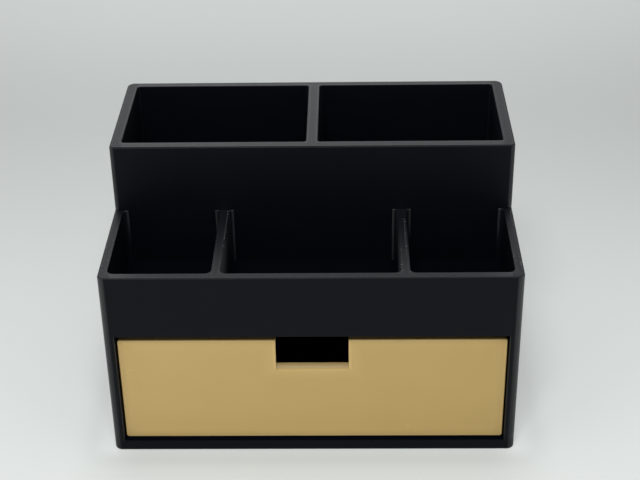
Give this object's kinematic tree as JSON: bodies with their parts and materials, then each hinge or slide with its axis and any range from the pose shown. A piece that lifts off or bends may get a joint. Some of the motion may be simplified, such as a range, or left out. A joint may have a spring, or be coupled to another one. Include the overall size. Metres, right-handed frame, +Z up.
{
  "type": "desk organizer with drawer",
  "caption": "Two-tier printed desk organizer: tall rear wells for pens and scissors, shallow front trays over a sliding drawer with a finger notch.",
  "frame": {"origin": "centre of the case's footprint, on the surface it stands on", "axes": "+X across the width, to the right as seen from the front; the drawer's front faces -Y; +Z up"},
  "size_m": [0.2, 0.14, 0.1375],
  "materials": {
    "black_plastic": "satin printed plastic, black",
    "tan_plastic": "matte printed plastic, tan"
  },
  "bodies": {
    "case": {"case": "black_plastic"},
    "drawer": {"drawer_box": "black_plastic", "drawer_front": "tan_plastic"}
  },
  "joints": [
    {"name": "drawer_slide", "type": "slide", "parent": "case", "child": "drawer", "axis": [0, -1, 0], "range_m": [0, 0.048]}
  ]
}
